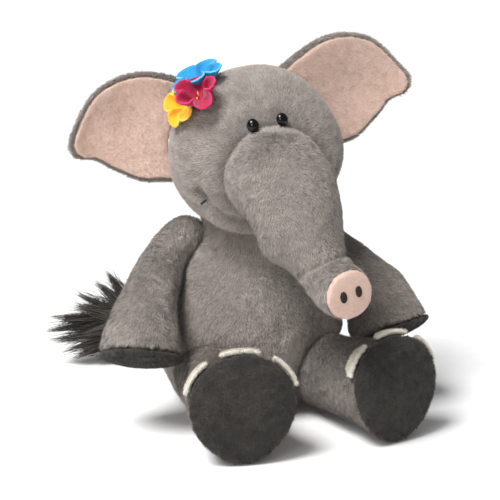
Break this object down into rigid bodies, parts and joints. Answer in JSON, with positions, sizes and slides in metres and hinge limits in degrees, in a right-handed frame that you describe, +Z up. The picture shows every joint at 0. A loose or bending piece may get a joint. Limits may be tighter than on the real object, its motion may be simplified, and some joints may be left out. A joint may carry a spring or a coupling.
{
  "type": "stuffed elephant",
  "caption": "Sitting plush elephant with a floppy head, hanging trunk, lined ears, padded hands and feet, a long-haired tail and felt flowers by one ear.",
  "frame": {"origin": "middle of the flat seat, on the ground it sits on", "axes": "+Z up, -Y the way the body faces, +X the toy's own left"},
  "size_m": [0.2694, 0.3303, 0.2891],
  "materials": {
    "grey_plush": "short brushed pile",
    "dark_plush": "short brushed pile",
    "blush_plush": "short brushed pile",
    "ivory_plush": "short brushed pile",
    "long_pile": "long combed pile",
    "filling": "loose fibre",
    "bead_bag": "woven cotton",
    "dark_thread": "satin stitch",
    "pale_thread": "thread",
    "blue_felt": "felt",
    "pink_felt": "felt",
    "yellow_felt": "felt",
    "eye_bead": "polished",
    "washer": "satin"
  },
  "bodies": {
    "torso": {"torso_panel_left": "grey_plush", "torso_panel_right": "grey_plush", "seat_panel": "grey_plush", "torso_stuffing": "filling", "seat_bean_bag": "bead_bag"},
    "neck": {"neck_collar": "grey_plush", "neck_stuffing": "filling"},
    "head": {"head_panel_left": "grey_plush", "head_panel_right": "grey_plush", "head_stuffing": "filling", "eye_left": "eye_bead", "eye_right": "eye_bead", "eye_washer_left": "washer", "eye_washer_right": "washer", "mouth_stitches": "dark_thread", "flower_blue": "blue_felt", "flower_pink": "pink_felt", "flower_yellow": "yellow_felt", "flower_stitches": "pale_thread", "trunk_base_skin": "grey_plush", "trunk_base_stuffing": "filling"},
    "trunk": {"trunk_skin": "grey_plush", "trunk_stuffing": "filling", "snout_pad": "blush_plush", "nostrils": "dark_thread"},
    "ear_left": {"ear_left_back": "grey_plush", "ear_left_lining": "blush_plush"},
    "ear_right": {"ear_right_back": "grey_plush", "ear_right_lining": "blush_plush"},
    "arm_left": {"arm_left_skin": "grey_plush", "arm_left_stuffing": "filling", "arm_left_pad": "dark_plush"},
    "arm_right": {"arm_right_skin": "grey_plush", "arm_right_stuffing": "filling", "arm_right_pad": "dark_plush"},
    "leg_left": {"leg_left_skin": "grey_plush", "leg_left_stuffing": "filling", "leg_left_sole": "dark_plush", "leg_left_toenails": "ivory_plush"},
    "leg_right": {"leg_right_skin": "grey_plush", "leg_right_stuffing": "filling", "leg_right_sole": "dark_plush", "leg_right_toenails": "ivory_plush"},
    "tail": {"tail_skin": "grey_plush", "tail_stuffing": "filling", "tail_tuft": "long_pile"}
  },
  "joints": [
    {"name": "neck_turn", "type": "hinge", "parent": "torso", "child": "neck", "pos_m": [0.001, -0.016, 0.208], "axis": [0, 0, 1], "range_deg": [-30, 30], "stiffness_Nm_per_rad": 1.5},
    {"name": "neck_nod", "type": "hinge", "parent": "neck", "child": "head", "pos_m": [0.001, -0.016, 0.208], "axis": [-1, 0, 0], "range_deg": [-2, 10], "stiffness_Nm_per_rad": 20},
    {"name": "trunk_lift", "type": "hinge", "parent": "head", "child": "trunk", "pos_m": [-0.00286, -0.11023, 0.17884], "axis": [-0.9803, 0.1204, -0.1564], "range_deg": [0, 22], "stiffness_Nm_per_rad": 2},
    {"name": "ear_left_swing", "type": "hinge", "parent": "head", "child": "ear_left", "pos_m": [0.06927, -0.01028, 0.20647], "axis": [-0.4655, 0.0572, 0.8832], "range_deg": [-14, 24], "stiffness_Nm_per_rad": 0.4},
    {"name": "ear_right_swing", "type": "hinge", "parent": "head", "child": "ear_right", "pos_m": [-0.06013, 0.00561, 0.18582], "axis": [-0.1718, 0.0211, -0.9849], "range_deg": [-14, 24], "stiffness_Nm_per_rad": 0.4},
    {"name": "arm_left_raise", "type": "hinge", "parent": "torso", "child": "arm_left", "pos_m": [0.046, 0.007, 0.134], "axis": [0, -1, 0], "range_deg": [0, 55]},
    {"name": "arm_right_raise", "type": "hinge", "parent": "torso", "child": "arm_right", "pos_m": [-0.046, 0.007, 0.134], "axis": [0, 1, 0], "range_deg": [0, 55]},
    {"name": "leg_left_swing", "type": "hinge", "parent": "torso", "child": "leg_left", "pos_m": [0.042, -0.034, 0.035], "axis": [-0.984, -0.1783, 0], "range_deg": [-30, 0]},
    {"name": "leg_right_swing", "type": "hinge", "parent": "torso", "child": "leg_right", "pos_m": [-0.042, -0.034, 0.035], "axis": [-0.9944, 0.1057, 0], "range_deg": [-30, 0]},
    {"name": "tail_lift", "type": "hinge", "parent": "torso", "child": "tail", "pos_m": [0, 0.068, 0.038], "axis": [0.8849, 0.4657, 0], "range_deg": [0, 40]}
  ]
}
